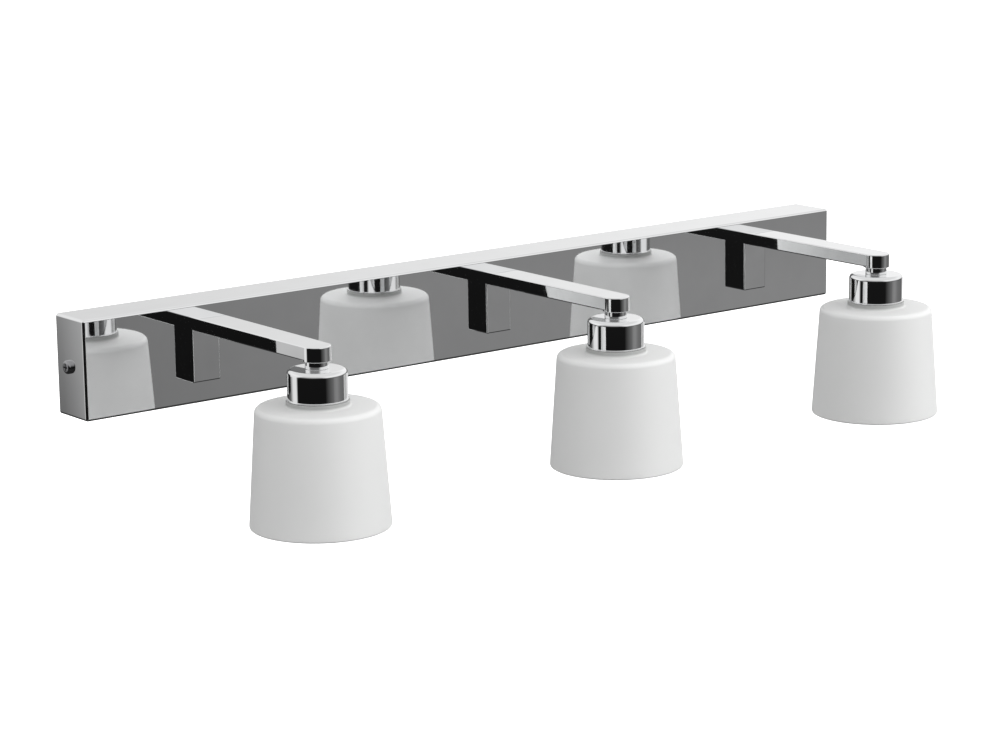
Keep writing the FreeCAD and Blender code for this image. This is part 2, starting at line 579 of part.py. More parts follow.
def shade_ring(x):
    inner = SKIRT_RADIUS + RING_THREAD_GAP
    flange_under, under = SHADE_CEILING - RING_FLANGE, SHADE_CEILING - RING_HEIGHT
    ring = turned([(inner, SHADE_CEILING), (RING_FLANGE_RADIUS, SHADE_CEILING),
                   (RING_FLANGE_RADIUS, flange_under), (RING_GRIP_RADIUS, flange_under),
                   (RING_GRIP_RADIUS, under), (inner, under)], x, LAMP_Y)
    for number in range(RING_NOTCHES):
        turn = math.radians(360 / RING_NOTCHES * number)
        notch_x = x + RING_FLANGE_RADIUS * math.cos(turn)
        notch_y = LAMP_Y + RING_FLANGE_RADIUS * math.sin(turn)
        ring = ring.cut(rod((notch_x, notch_y, under - 1), (notch_x, notch_y, SHADE_CEILING + 1),
                            RING_NOTCH_RADIUS))
    return ring


def bulb_base(x):
    width, depth, _ = BULB_STEM
    stem = block((x - width / 2, LAMP_Y - depth / 2, SEAT_TOP), (x + width / 2, LAMP_Y + depth / 2, STEM_TOP))
    stem = stem.makeFillet(STEM_ROUND, edges_where(stem, lambda bounds: bounds.ZLength > 1))
    seat = rod((x, LAMP_Y, SEAT_UNDER), (x, LAMP_Y, SEAT_TOP), BULB_SEAT_RADIUS)
    seat = seat.makeFillet(SEAT_ROUND, rings_at(seat, BULB_SEAT_RADIUS, SEAT_TOP))
    return stem.fuse(seat)


def bulb_glass(x):
    straight_end = SEAT_UNDER - BULB_GLASS_LENGTH + BULB_RADIUS
    centre = Vector(x, LAMP_Y, straight_end)
    outside = rod((x, LAMP_Y, straight_end), (x, LAMP_Y, SEAT_UNDER), BULB_RADIUS)
    outside = outside.fuse(Part.makeSphere(BULB_RADIUS, centre))
    inner = BULB_RADIUS - BULB_GLASS
    inside = rod((x, LAMP_Y, straight_end), (x, LAMP_Y, SEAT_UNDER), inner)
    inside = inside.fuse(Part.makeSphere(inner, centre))
    return outside.cut(inside).removeSplitter()


def bulb_emitter(x):
    return rod((x, LAMP_Y, SEAT_UNDER - EMITTER_LENGTH), (x, LAMP_Y, SEAT_UNDER), EMITTER_RADIUS)


def bulb_pins(x):
    """Two wire loops that stand out of the base."""
    pins, bend = [], STEM_TOP + PIN_HEIGHT - PIN_LOOP_RADIUS - PIN_WIRE_RADIUS
    for side in (-1, 1):
        pin_x = x + side * PIN_SPACING / 2
        left, right = pin_x - PIN_LOOP_RADIUS, pin_x + PIN_LOOP_RADIUS
        foot, up = Vector(left, LAMP_Y, STEM_TOP), Vector(left, LAMP_Y, bend)
        crown, down = Vector(pin_x, LAMP_Y, bend + PIN_LOOP_RADIUS), Vector(right, LAMP_Y, bend)
        path = Part.Wire([Part.LineSegment(foot, up).toShape(), Part.Arc(up, crown, down).toShape(),
                          Part.LineSegment(down, Vector(right, LAMP_Y, STEM_TOP)).toShape()])
        section = Part.Wire(Part.Circle(foot, Vector(0, 0, 1), PIN_WIRE_RADIUS).toShape())
        pins.append(path.makePipeShell([section], True, False))
    return pins


# Terminal block and earth

def terminal_block():
    half = POLE_PITCH * len(POLE_NAMES) / 2
    body = block((BLOCK_X - half, BLOCK_FRONT, -BLOCK_HEIGHT / 2),
                 (BLOCK_X + half, -PLATE_THICKNESS, BLOCK_HEIGHT / 2))
    front = edges_where(body, lambda bounds: bounds.YMax < BLOCK_FRONT + 0.001)
    body = body.makeFillet(BLOCK_EDGE_RADIUS, front)
    for x in POLE_X.values():
        body = body.cut(rod((x, POLE_Y, -BLOCK_HEIGHT), (x, POLE_Y, BLOCK_HEIGHT), CLAMP_RADIUS + THREAD_GAP))
        for z in (-CLAMP_SCREW_OFFSET, CLAMP_SCREW_OFFSET):
            body = body.cut(rod((x, BLOCK_FRONT - 1, z), (x, POLE_Y, z), CLAMP_SCREW[1] + THREAD_GAP))
    x = BLOCK_X + POLE_PITCH / 2
    return body.cut(rod((x, BLOCK_FRONT - 1, 0), (x, 0, 0), M3[0] + THREAD_GAP))


def terminal_clamps():
    clamps = []
    for x in POLE_X.values():
        clamp = tube((x, POLE_Y, -CLAMP_LENGTH / 2), (x, POLE_Y, CLAMP_LENGTH / 2), CLAMP_RADIUS,
                     CLAMP_RADIUS - CLAMP_WALL)
        for z in (-CLAMP_SCREW_OFFSET, CLAMP_SCREW_OFFSET):
            hole = rod((x, POLE_Y - CLAMP_RADIUS - 1, z), (x, POLE_Y, z), CLAMP_SCREW[0] + THREAD_GAP)
            clamp = clamp.cut(hole)
        clamps.append(clamp)
    return clamps


def terminal_screws():
    seat = POLE_Y - CLAMP_RADIUS - CLAMP_SCREW_LIFT
    length = CLAMP_SCREW_LIFT + CLAMP_WALL + CLAMP_SCREW_BITE
    return [cross_screw(CLAMP_SCREW, length, (x, seat, z), (0, -1, 0))
            for x in POLE_X.values() for z in (-CLAMP_SCREW_OFFSET, CLAMP_SCREW_OFFSET)]


def block_screw():
    seat = (BLOCK_X + POLE_PITCH / 2, BLOCK_FRONT, 0)
    return cross_screw(M3, BLOCK_DEPTH + PLATE_THICKNESS, seat, (0, -1, 0))


def earth_stud():
    x, z = EARTH_STUD
    base = rod((x, -PLATE_THICKNESS, z), (x, -PLATE_THICKNESS - STUD_BASE, z), STUD_BASE_RADIUS)
    return base.fuse(rod((x, -PLATE_THICKNESS, z), (x, -PLATE_THICKNESS - STUD_LENGTH, z), M4[0]))


def earth_tag():
    x, z = EARTH_STUD
    back, front = -PLATE_THICKNESS - STUD_BASE, -PLATE_THICKNESS - STUD_BASE - TAG_SHEET
    tag = rod((x, back, z), (x, front, z), TAG_RADIUS)
    tag = tag.fuse(block((x, front, z - TAG_BARREL_RADIUS), (x + TAG_REACH, back, z + TAG_BARREL_RADIUS)))
    barrel_y = back - TAG_BARREL_RADIUS
    barrel = ((x + TAG_REACH, barrel_y, z), (x + TAG_REACH + TAG_BARREL_LENGTH, barrel_y, z))
    tag = tag.fuse(rod(*barrel, TAG_BARREL_RADIUS)).cut(rod(*barrel, WIRE_RADIUS + THREAD_GAP))
    return tag.cut(rod((x, back, z), (x, front, z), M4[0] + THREAD_GAP))


def earth_nut():
    x, z = EARTH_STUD
    start = (x, -PLATE_THICKNESS - STUD_BASE - TAG_SHEET, z)
    end = (x, start[1] - EARTH_NUT_HEIGHT, z)
    return hexagon(start, end, EARTH_NUT_ACROSS_FLATS).cut(rod(start, end, M4[0] + THREAD_GAP))


# Wires

def lamp_wires(pole):
    """One wire to each lamp: up from its pole, along the rail, out through the arm and down the nipple."""
    wires = []
    front_first = sorted(LAMP_NAMES, key=lambda name: -WIRE_DEPTHS[pole][name])
    for number, name in enumerate(front_first):
        turn = math.radians(270 + 120 * number)
        start_x = POLE_X[pole] + WIRE_CLUSTER * math.cos(turn)
        start_y = POLE_Y + WIRE_CLUSTER * math.sin(turn)
        run_y = -WIRE_DEPTHS[pole][name]
        away = 1 if LAMP_X[name] > BLOCK_X else -1
        offset = -away * WIRE_OFFSET if pole == "live" else away * WIRE_OFFSET
        end_x = LAMP_X[name] + offset
        rise = DUCT_Z - BLOCK_HEIGHT / 2
        points = [(start_x, start_y, CLAMP_LENGTH / 2 + WIRE_STRIP), (start_x, start_y, BLOCK_HEIGHT / 2 + 1),
                  (start_x, run_y, DUCT_Z), (end_x, run_y, DUCT_Z), (end_x, LAMP_Y, DUCT_Z),
                  (end_x, LAMP_Y, HOLDER_TOP)]
        wires.append(wire_along(points, WIRE_RADIUS, (WIRE_RADIUS * 3, rise * 0.35, RUN_BEND, DROP_BEND)))
    return wires


def earth_lead():
    x, z = EARTH_STUD
    barrel_y = -PLATE_THICKNESS - STUD_BASE - TAG_BARREL_RADIUS
    barrel_x = x + TAG_REACH
    corner_x = (barrel_x + TAG_BARREL_LENGTH + POLE_X["earth"] - POLE_PITCH / 2) / 2
    over = BLOCK_HEIGHT / 2 + EARTH_ARCH
    points = [(POLE_X["earth"], POLE_Y, CLAMP_LENGTH / 2 + WIRE_STRIP), (POLE_X["earth"], POLE_Y, over),
              (corner_x, barrel_y - EARTH_SWAY, over), (corner_x, barrel_y, z), (barrel_x, barrel_y, z)]
    runs = [(Vector(*second) - Vector(*first)).Length for first, second in zip(points, points[1:])]
    bends = [EARTH_BEND * min(pair) for pair in zip(runs, runs[1:])]
    return wire_along(points, WIRE_RADIUS, bends)


def whole_part():
    pieces = {"rail_housing": rail_housing(), "wall_plate": wall_plate(), "side_screws": side_screws(),
              "clinch_nuts": clinch_nuts(), "cable_bush": cable_bush(), "arm_screws": arm_screws(),
              "arm_washers": arm_washers(), "wire_bushes": wire_bushes(), "nipples": nipples(),
              "nipple_nuts": nipple_nuts(), "bracket_screws": bracket_screws(),
              "lamp_contacts": lamp_contacts(), "terminal_block": terminal_block(),
              "terminal_clamps": terminal_clamps(), "terminal_screws": terminal_screws(),
              "block_screw": block_screw(), "earth_stud": earth_stud(), "earth_tag": earth_tag(),
              "earth_nut": earth_nut(), "earth_lead": earth_lead(), "live_wires": lamp_wires("live"),
              "neutral_wires": lamp_wires("neutral")}
    per_lamp = {"arm": arm, "neck_sleeve": neck_sleeve, "lamp_cup": lamp_cup,
                "holder_bracket": holder_bracket, "lampholder": lampholder, "holder_skirt": holder_skirt,
                "shade": shade, "shade_ring": shade_ring, "bulb_base": bulb_base,
                "bulb_glass": bulb_glass, "bulb_emitter": bulb_emitter, "bulb_pins": bulb_pins}
    for name, x in LAMP_X.items():
        for piece, make in per_lamp.items():
            pieces[f"{piece}_{name}"] = make(x)
    return pieces


def main():
    os.makedirs("parts", exist_ok=True)
    for node, shape in whole_part().items():
        solids = shape if isinstance(shape, list) else [shape]
        whole = solids[0] if len(solids) == 1 else Part.makeCompound(solids)
        whole.exportStep(f"parts/{node}.step")
        bounds = whole.BoundBox
        print(f"{node}: {len(whole.Solids)} solid(s), valid {whole.isValid()}, {whole.Volume:.1f} mm3, "
              f"x {bounds.XMin:.1f}..{bounds.XMax:.1f} y {bounds.YMin:.1f}..{bounds.YMax:.1f} "
              f"z {bounds.ZMin:.1f}..{bounds.ZMax:.1f}")


main()
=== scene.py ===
import json
import math

import bmesh
import bpy
from mathutils import Euler, Matrix, Vector


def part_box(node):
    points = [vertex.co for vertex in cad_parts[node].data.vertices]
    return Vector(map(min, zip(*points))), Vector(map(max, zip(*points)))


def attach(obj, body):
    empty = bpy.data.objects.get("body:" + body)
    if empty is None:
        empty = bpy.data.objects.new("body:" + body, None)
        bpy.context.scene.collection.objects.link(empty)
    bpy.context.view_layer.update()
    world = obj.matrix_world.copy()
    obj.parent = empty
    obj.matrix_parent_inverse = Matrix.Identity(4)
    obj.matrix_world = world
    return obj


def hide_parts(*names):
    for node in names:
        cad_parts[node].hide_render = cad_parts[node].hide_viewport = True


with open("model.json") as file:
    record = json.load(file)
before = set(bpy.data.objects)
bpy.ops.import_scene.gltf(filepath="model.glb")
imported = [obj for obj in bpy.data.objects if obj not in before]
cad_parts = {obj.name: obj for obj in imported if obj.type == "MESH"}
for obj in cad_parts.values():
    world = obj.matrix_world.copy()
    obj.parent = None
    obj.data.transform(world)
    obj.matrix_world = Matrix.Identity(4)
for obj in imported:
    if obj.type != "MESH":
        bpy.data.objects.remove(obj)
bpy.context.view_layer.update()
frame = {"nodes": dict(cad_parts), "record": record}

LAMPS = ("left", "centre", "right")
MM = 0.001


# Node helpers

def feed(tree, socket, value):
    """Link a node's output into the socket, or set the socket to a plain value."""
    if isinstance(value, bpy.types.NodeSocket):
        tree.links.new(value, socket)
    else:
        socket.default_value = value


def rgba(colour):
    return (*colour, 1.0)


def new_material(name):
    material = bpy.data.materials.new(name)
    material.use_nodes = True
    tree = material.node_tree
    tree.nodes.clear()
    output = tree.nodes.new("ShaderNodeOutputMaterial")
    shader = tree.nodes.new("ShaderNodeBsdfPrincipled")
    tree.links.new(shader.outputs["BSDF"], output.inputs["Surface"])
    return material, tree, shader


def position(tree):
    return tree.nodes.new("ShaderNodeTexCoord").outputs["Object"]


def split_axes(tree, vector):
    made = tree.nodes.new("ShaderNodeSeparateXYZ")
    tree.links.new(vector, made.inputs["Vector"])
    return made.outputs


def calculate(tree, operation, first, second):
    made = tree.nodes.new("ShaderNodeMath")
    made.operation = operation
    feed(tree, made.inputs[0], first)
    feed(tree, made.inputs[1], second)
    return made.outputs[0]


def noise(tree, scale, detail, roughness):
    made = tree.nodes.new("ShaderNodeTexNoise")
    tree.links.new(position(tree), made.inputs["Vector"])
    made.inputs["Scale"].default_value = scale
    made.inputs["Detail"].default_value = detail
    made.inputs["Roughness"].default_value = roughness
    return made.outputs["Fac"]


def spread(tree, source, low, high, from_low=0.0, from_high=1.0):
    """Map a value from one range to another, held at both ends."""
    made = tree.nodes.new("ShaderNodeMapRange")
    made.clamp = True
    tree.links.new(source, made.inputs["Value"])
    made.inputs["From Min"].default_value = from_low
    made.inputs["From Max"].default_value = from_high
    made.inputs["To Min"].default_value = low
    made.inputs["To Max"].default_value = high
    return made.outputs["Result"]


def blend_colours(tree, factor, first, second):
    made = tree.nodes.new("ShaderNodeMix")
    made.data_type = "RGBA"
    tree.links.new(factor, made.inputs["Factor"])
    colour_inputs = [socket for socket in made.inputs if socket.type == "RGBA"]
    for socket, colour in zip(colour_inputs, (first, second)):
        feed(tree, socket, colour)
    return next(socket for socket in made.outputs if socket.type == "RGBA")


def ramp(tree, factor, stops):
    """Greys by direction, from (azimuth in degrees, brightness) stops over the full turn."""
    made = tree.nodes.new("ShaderNodeValToRGB")
    tree.links.new(factor, made.inputs["Fac"])
    elements = made.color_ramp.elements
    while len(elements) > 1:
        elements.remove(elements[-1])
    for number, (azimuth, grey) in enumerate(stops):
        place = (azimuth + 180.0) / 360.0
        element = elements[0] if number == 0 else elements.new(place)
        element.position = place
        element.color = (grey, grey, grey, 1.0)
    return made.outputs["Color"]


def add_bump(tree, shader, height, strength, distance):
    bump = tree.nodes.new("ShaderNodeBump")
    tree.links.new(height, bump.inputs["Height"])
    bump.inputs["Strength"].default_value = strength
    bump.inputs["Distance"].default_value = distance
    tree.links.new(bump.outputs["Normal"], shader.inputs["Normal"])


# Materials. A cloudy noise mixes the dark and light colours, and a fine grain varies the roughness.
# Noise scales are per metre, and bump distances are in metres.

CLOUD_DETAIL = 4.0
CLOUD_ROUGHNESS = 0.5
CLOUD_RANGE = (0.3, 0.7)
GRAIN_DETAIL = 5.0
GRAIN_ROUGHNESS = 0.6

METAL_CLOUD_SCALE = 60.0
METAL_GRAIN_RANGE = (0.35, 0.8)
METAL_BUMP_DISTANCE = 0.0001

# Metals: light colour, dark colour, least roughness, its spread, grain scale, bump strength
METALS = {
    "zinc_steel": ((0.66, 0.67, 0.66), (0.50, 0.52, 0.53), 0.28, 0.2, 700.0, 0.2),
    "screw_steel": ((0.42, 0.42, 0.43), (0.30, 0.30, 0.31), 0.08, 0.1, 1500.0, 0.08),
    "brass": ((0.80, 0.62, 0.33), (0.66, 0.48, 0.24), 0.20, 0.15, 1200.0, 0.1),
    "ring_metal": ((0.82, 0.82, 0.81), (0.74, 0.74, 0.74), 0.25, 0.12, 1500.0, 0.1),
    "pin_wire": ((0.74, 0.73, 0.70), (0.62, 0.61, 0.58), 0.2, 0.15, 1500.0, 0.1),
}

CHROME_LIGHT = (0.90, 0.905, 0.91)
CHROME_DARK = (0.87, 0.875, 0.88)
CHROME_ROUGH = 0.015
CHROME_ROUGH_SPREAD = 0.02
CHROME_GRAIN_SCALE = 900.0
RIPPLE_DETAIL = 1.5
RIPPLE_ROUGHNESS = 0.4

# Chromes: the scale and the bump distance of the slow ripple under the plating
CHROMES = {
    "chrome_sheet": (9.0, 0.0001),
    "chrome_cast": (32.0, 0.0003),
    "chrome_cup": (60.0, 0.00003),
}

DIELECTRIC_CLOUD = 0.2
DIELECTRIC_GRAIN_RANGE = (0.0, 1.0)
DIELECTRIC_BUMP_DISTANCE = 0.0002

# Ceramics, plastics, rubber and the bulbs, with the same values
DIELECTRICS = {
    "holder_ceramic": ((0.80, 0.78, 0.72), (0.72, 0.70, 0.64), 0.6, 0.2, 900.0, 0.25),
    "bulb_ceramic": ((0.86, 0.85, 0.82), (0.80, 0.79, 0.75), 0.3, 0.15, 900.0, 0.1),
    "bulb_glass": ((0.90, 0.91, 0.91), (0.84, 0.85, 0.86), 0.35, 0.15, 1500.0, 0.1),
    "emitter": ((0.92, 0.74, 0.22), (0.80, 0.60, 0.14), 0.4, 0.2, 1200.0, 0.2),
    "white_plastic": ((0.84, 0.84, 0.81), (0.78, 0.78, 0.75), 0.3, 0.15, 1200.0, 0.1),
    "black_rubber": ((0.035, 0.035, 0.036), (0.02, 0.02, 0.02), 0.55, 0.2, 1200.0, 0.3),
    "live_wire": ((0.22, 0.10, 0.05), (0.15, 0.07, 0.03), 0.4, 0.15, 900.0, 0.1),
    "neutral_wire": ((0.05, 0.13, 0.42), (0.03, 0.09, 0.30), 0.4, 0.15, 900.0, 0.1),
    "earth_wire": ((0.62, 0.62, 0.06), (0.10, 0.36, 0.08), 0.4, 0.15, 900.0, 0.1),
}

# Opal glass: grey painted shade at the collar under the cup; the milk turns to it between two heights, in
# metres
MILK_DARK = (0.84, 0.845, 0.84)
MILK_LIGHT = (0.88, 0.885, 0.88)
COLLAR_PAINTED_SHADE = (0.42, 0.425, 0.42)
COLLAR_SHADE_FADE = (-0.0099, -0.0082)
MILK_CLOUD_SCALE = 14.0
MILK_CLOUD_DETAIL = 3.0
SKIN_SCALE = 2600.0
SKIN_DETAIL = 2.0
SKIN_NOISE_ROUGHNESS = 0.5
SKIN_GLOSS = (0.42, 0.55)
SKIN_BUMP = 0.05
SKIN_BUMP_DISTANCE = 0.00005
MILK_WEIGHT = 0.25
MILK_RADIUS = (0.010, 0.010, 0.010)
MILK_SCALE = 0.5


def grained(name, light, dark, rough, rough_spread, cloud_scale, grain_scale, grain_range):
    material, tree, shader = new_material(name)
    cloud = noise(tree, cloud_scale, CLOUD_DETAIL, CLOUD_ROUGHNESS)
    grain = noise(tree, grain_scale, GRAIN_DETAIL, GRAIN_ROUGHNESS)
    mix = spread(tree, cloud, 0.0, 1.0, *CLOUD_RANGE)
    colour = blend_colours(tree, mix, rgba(dark), rgba(light))
    roughness = spread(tree, grain, rough, rough + rough_spread, *grain_range)
    tree.links.new(colour, shader.inputs["Base Color"])
    tree.links.new(roughness, shader.inputs["Roughness"])
    return material, tree, shader, grain


def metal(name, light, dark, rough, rough_spread, grain_scale, bump):
    """A bare or zinc-plated metal, with a fine grain."""
    material, tree, shader, grain = grained(name, light, dark, rough, rough_spread, METAL_CLOUD_SCALE,
                                            grain_scale, METAL_GRAIN_RANGE)
    shader.inputs["Metallic"].default_value = 1.0
    add_bump(tree, shader, grain, bump, METAL_BUMP_DISTANCE)
    return material


def chrome(name, ripple_scale, ripple_distance):
    """Polished plating, with a slow ripple that bends its reflections a little."""
    material, tree, shader, _ = grained(name, CHROME_LIGHT, CHROME_DARK, CHROME_ROUGH,
                                        CHROME_ROUGH_SPREAD, METAL_CLOUD_SCALE, CHROME_GRAIN_SCALE,
                                        METAL_GRAIN_RANGE)
    shader.inputs["Metallic"].default_value = 1.0
    ripple = noise(tree, ripple_scale, RIPPLE_DETAIL, RIPPLE_ROUGHNESS)
    add_bump(tree, shader, ripple, 1.0, ripple_distance)
    return material


def dielectric(name, light, dark, rough, rough_spread, grain_scale, bump):
    """Ceramic, plastic, rubber or frosted glass, with a fine grain."""
    material, tree, shader, grain = grained(name, light, dark, rough, rough_spread,
                                            grain_scale * DIELECTRIC_CLOUD, grain_scale,
                                            DIELECTRIC_GRAIN_RANGE)
    add_bump(tree, shader, grain, bump, DIELECTRIC_BUMP_DISTANCE)
    return material


def opal_glass():
    """Etched white glass: a soft milky body under a very fine matt skin, with painted shade at the collar."""
    material, tree, shader = new_material("opal_glass")
    cloud = noise(tree, MILK_CLOUD_SCALE, MILK_CLOUD_DETAIL, CLOUD_ROUGHNESS)
    skin = noise(tree, SKIN_SCALE, SKIN_DETAIL, SKIN_NOISE_ROUGHNESS)
    height = split_axes(tree, position(tree))["Z"]
    milk = blend_colours(tree, cloud, rgba(MILK_DARK), rgba(MILK_LIGHT))
    # Painted shade: the milk greys towards the collar, standing in for the shadow under the cup
    collar = spread(tree, height, 0.0, 1.0, *COLLAR_SHADE_FADE)
    colour = blend_colours(tree, collar, milk, rgba(COLLAR_PAINTED_SHADE))
    tree.links.new(colour, shader.inputs["Base Color"])
    tree.links.new(spread(tree, skin, *SKIN_GLOSS), shader.inputs["Roughness"])
    shader.inputs["Subsurface Weight"].default_value = MILK_WEIGHT
    shader.inputs["Subsurface Radius"].default_value = MILK_RADIUS
    shader.inputs["Subsurface Scale"].default_value = MILK_SCALE
    add_bump(tree, shader, skin, SKIN_BUMP, SKIN_BUMP_DISTANCE)
    return material


def make_materials():
    materials = {"opal_glass": opal_glass()}
    for name, look in CHROMES.items():
        materials[name] = chrome(name, *look)
    for name, look in METALS.items():
        materials[name] = metal(name, *look)
    for name, look in DIELECTRICS.items():
        materials[name] = dielectric(name, *look)
    return materials


MATERIALS = make_materials()


def dress_frame():
    slots = {row["node"]: row["material_slot"] for row in frame["record"]["subparts"]}
    for name, obj in frame["nodes"].items():
        obj.data.materials.clear()
        obj.data.materials.append(MATERIALS[slots[name]])


dress_frame()


# Smooth pieces in place of the tessellated ones. Sizes are in millimetres until link() scales them.

ARC_STEPS = 8
TURN_STEPS = 256
CREASE_ANGLE = 35.0
FACE_AREA_WEIGHT = 100


def rounded(corners):
    """A closed outline from (radius, height, corner radius) triples, with each corner turned into an arc."""
    outline = []
    for number, (across, height, bend) in enumerate(corners):
        here = Vector((across, height))
        if bend == 0:
            outline.append(here)
            continue
        before = (Vector(corners[number - 1][:2]) - here).normalized()
        after = (Vector(corners[(number + 1) % len(corners)][:2]) - here).normalized()
        half = before.angle(after) / 2
        centre = here + (before + after).normalized() * bend / math.sin(half)
        start = here + before * bend / math.tan(half) - centre
        sweep = (here + after * bend / math.tan(half) - centre).angle_signed(start)
        for step in range(ARC_STEPS + 1):
            turn = sweep * step / ARC_STEPS
            outline.append(centre + Matrix.Rotation(turn, 2) @ start)
    return outline


def link(name, mesh_data, body, slot_name, replaced):
    mesh = bpy.data.meshes.new(name)
    bmesh.ops.recalc_face_normals(mesh_data, faces=mesh_data.faces)
    bmesh.ops.scale(mesh_data, vec=(MM, MM, MM), verts=mesh_data.verts)
    mesh_data.to_mesh(mesh)
    mesh_data.free()
    mesh.shade_smooth()
    mesh.set_sharp_from_angle(angle=math.radians(CREASE_ANGLE))
    mesh.materials.append(MATERIALS[slot_name])
    piece = bpy.data.objects.new(name, mesh)
    bpy.context.scene.collection.objects.link(piece)
    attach(piece, body)
    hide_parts(replaced)
    return piece


def weigh_normals(piece):
    weighted = piece.modifiers.new("weighted", "WEIGHTED_NORMAL")
    weighted.keep_sharp = True
    weighted.weight = FACE_AREA_WEIGHT


def lathe(name, corners, axis, body, slot_name, replaced):
    """A turned piece about an upright axis, which is its (x, y)."""
    outline = rounded(corners)
    made = bmesh.new()
    rings = []
    for step in range(TURN_STEPS):
        turn = 2 * math.pi * step / TURN_STEPS
        along_x, along_y = math.cos(turn), math.sin(turn)
        ring = []
        for point in outline:
            place = (axis[0] + point.x * along_x, axis[1] + point.x * along_y, point.y)
            ring.append(made.verts.new(place))
        rings.append(ring)
    for ring, following in zip(rings, rings[1:] + rings[:1]):
        for low in range(len(outline)):
            high = (low + 1) % len(outline)
            made.faces.new((ring[low], ring[high], following[high], following[low]))
    weigh_normals(link(name, made, body, slot_name, replaced))


def box_in_mm(node_name):
    return [Vector(corner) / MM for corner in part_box(node_name)]


def span(node_name):
    """The axis, radius, low end and high end of an upright turned node, in millimetres."""
    low, high = box_in_mm(node_name)
    return ((low.x + high.x) / 2, (low.y + high.y) / 2), (high.x - low.x) / 2, low.z, high.z


RAIL_SHEET = 1.0
RAIL_EDGE = 1.6
RAIL_EDGE_STEPS = 6
ROUND_PROFILE = 0.5
INWARD = -1

# The housing's five faces, by corners that are 0 at the low end and 1 at the high end of x, y and z.
# The wall side, at high y, is open.
RAIL_FACES = [
    ((0, 0, 0), (1, 0, 0), (1, 0, 1), (0, 0, 1)),
    ((0, 0, 0), (0, 0, 1), (0, 1, 1), (0, 1, 0)),
    ((1, 0, 0), (1, 1, 0), (1, 1, 1), (1, 0, 1)),
    ((0, 0, 0), (0, 1, 0), (1, 1, 0), (1, 0, 0)),
    ((0, 0, 1), (1, 0, 1), (1, 1, 1), (0, 1, 1)),
]


def rail():
    ends = box_in_mm("rail_housing")
    made = bmesh.new()
    corners = {}
    for i in (0, 1):
        for j in (0, 1):
            for k in (0, 1):
                corners[i, j, k] = made.verts.new((ends[i].x, ends[j].y, ends[k].z))
    for face in RAIL_FACES:
        made.faces.new([corners[key] for key in face])
    folds = [edge for edge in made.edges if len(edge.link_faces) == 2]
    bmesh.ops.bevel(made, geom=folds, offset=RAIL_EDGE, segments=RAIL_EDGE_STEPS, profile=ROUND_PROFILE,
                    affect="EDGES", clamp_overlap=True)
    piece = link("rail_shell", made, "root", "chrome_sheet", "rail_housing")
    sheet = piece.modifiers.new("sheet", "SOLIDIFY")
    sheet.thickness = RAIL_SHEET * MM
    sheet.offset = INWARD
    sheet.use_even_offset = True
    weigh_normals(piece)


NIPPLE_HOLE = 5.25
NECK_EDGE = 0.25


def neck(lamp):
    axis, radius, low, high = span(f"neck_sleeve_{lamp}")
    corners = [
        (NIPPLE_HOLE, high, 0),
        (radius, high, NECK_EDGE),
        (radius, low, NECK_EDGE),
        (NIPPLE_HOLE, low, 0),
    ]
    lathe(f"neck_{lamp}", corners, axis, "root", "chrome_cup", f"neck_sleeve_{lamp}")


CUP_WALL = 1.0
CUP_ROUND = 2.8
CUP_SLOPE = 0.1
BEAD = 0.5
BEAD_HEIGHT = 0.9
BEAD_ROUND = BEAD_HEIGHT * 0.4


def cup(lamp):
    axis, bead, low, high = span(f"lamp_cup_{lamp}")
    outer = bead - BEAD
    inner = outer - CUP_WALL
    rim = high - CUP_SLOPE
    bead_top = low + BEAD_HEIGHT
    corners = [
        (NIPPLE_HOLE, high, 0),
        (outer, rim, CUP_ROUND),
        (outer, bead_top, 0),
        (bead, bead_top, BEAD_ROUND),
        (bead, low, BEAD_ROUND),
        (inner, low, 0),
        (inner, rim - CUP_WALL, CUP_ROUND - CUP_WALL),
        (NIPPLE_HOLE, high - CUP_WALL, 0),
    ]
    lathe(f"cup_{lamp}", corners, axis, "root", "chrome_cup", f"lamp_cup_{lamp}")


COLLAR_RADIUS = 18.4
COLLAR_EDGE = 0.4
COLLAR_SWEEP = 1.4
COLLAR_HEIGHT = 3.3
GLASS_HOLE = 14.5
GLASS_WALL = 2.8
GLASS_TOP_RADIUS = 36.4
GLASS_SLOPE = 0.3
GLASS_SHOULDER = 3.4
GLASS_RIM = 1.1


def glass(lamp):
    axis, mouth, low, high = span(f"shade_{lamp}")
    top = high - COLLAR_HEIGHT
    edge = top - GLASS_SLOPE
    corners = [
        (GLASS_HOLE, high, 0),
        (COLLAR_RADIUS, high, COLLAR_EDGE),
        (COLLAR_RADIUS, top, COLLAR_SWEEP),
        (GLASS_TOP_RADIUS, edge, GLASS_SHOULDER),
        (mouth, low, GLASS_RIM),
        (mouth - GLASS_WALL, low, GLASS_RIM),
        (GLASS_TOP_RADIUS - GLASS_WALL, edge - GLASS_WALL, GLASS_SHOULDER - GLASS_WALL),
        (GLASS_HOLE, edge - GLASS_WALL + GLASS_SLOPE, 0),
    ]
    lathe(f"glass_{lamp}", corners, axis, f"shade_{lamp}_body", "opal_glass", f"shade_{lamp}")


rail()
for lamp_name in LAMPS:
    neck(lamp_name)
    cup(lamp_name)
    glass(lamp_name)


# World: a light tent whose brightness goes by direction. It is bright above. Further down it is black on
# the camera's side, grey to the right of that, white past both, and dark behind the wall and below.

